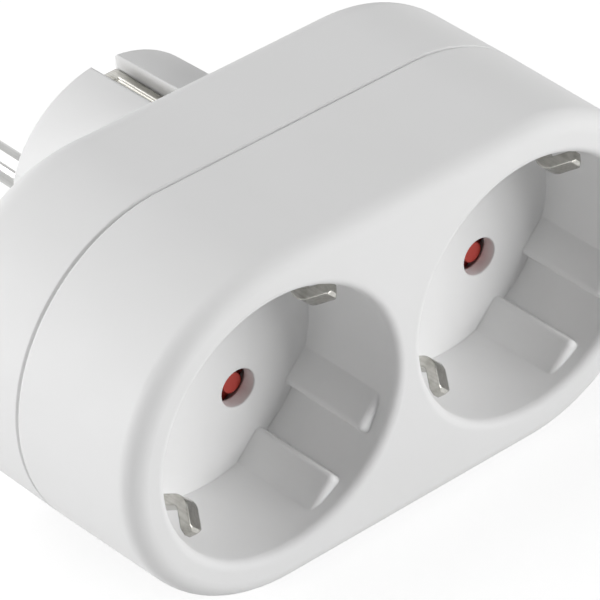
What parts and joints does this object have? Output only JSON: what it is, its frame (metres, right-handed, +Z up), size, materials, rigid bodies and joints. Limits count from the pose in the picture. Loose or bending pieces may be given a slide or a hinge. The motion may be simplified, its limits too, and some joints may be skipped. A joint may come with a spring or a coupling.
{
  "type": "multi socket adapter",
  "caption": "Plug-in adapter with recessed round earthed sockets turned at an angle in a stadium-shaped housing, sprung shutters behind the pin holes and a round earthed plug at the back.",
  "frame": {"origin": "on the plug's axis, in the plane of the plug's face, midway between its pins", "axes": "+X along the housing, +Y out of the plug's face towards the wall socket, +Z up"},
  "size_m": [0.0924, 0.0797, 0.05],
  "materials": {
    "housing_plastic": "satin white",
    "carrier_plastic": "matte",
    "shutter_plastic": "matte red",
    "plated_brass": "bright nickel plate",
    "bare_brass": "stamped, bare",
    "screw_steel": "zinc plate",
    "spring_steel": "spring strip"
  },
  "bodies": {
    "housing": {"contact_carrier": "carrier_plastic", "contact_jaw_left_lower": "bare_brass", "contact_jaw_left_upper": "bare_brass", "contact_jaw_right_lower": "bare_brass", "contact_jaw_right_upper": "bare_brass", "earth_clip_left_lower": "plated_brass", "earth_clip_left_upper": "plated_brass", "earth_clip_right_lower": "plated_brass", "earth_clip_right_upper": "plated_brass", "earth_plate": "bare_brass", "earth_rivets": "bare_brass", "front_cover": "housing_plastic", "housing_screws": "screw_steel", "jaw_rivets": "bare_brass", "live_busbar": "bare_brass", "neutral_busbar": "bare_brass", "plug_earth_strip_lower": "plated_brass", "plug_earth_strip_upper": "plated_brass", "plug_pin_left": "plated_brass", "plug_pin_right": "plated_brass", "rear_housing": "housing_plastic", "shutter_spring_left": "spring_steel", "shutter_spring_right": "spring_steel"},
    "shutter_left": {"shutter_left": "shutter_plastic"},
    "shutter_right": {"shutter_right": "shutter_plastic"}
  },
  "joints": [
    {"name": "shutter_left_turn", "type": "hinge", "parent": "housing", "child": "shutter_left", "pos_m": [-0.02115, -0.0395, 0], "axis": [0, -1, 0], "range_deg": [0, 40], "stiffness_Nm_per_rad": 0.003, "springref_deg": -28.65, "deforming": ["shutter_spring_left"]},
    {"name": "shutter_right_turn", "type": "hinge", "parent": "housing", "child": "shutter_right", "pos_m": [0.02115, -0.0395, 0], "axis": [0, -1, 0], "range_deg": [0, 40], "stiffness_Nm_per_rad": 0.003, "springref_deg": -28.65, "deforming": ["shutter_spring_right"]}
  ]
}
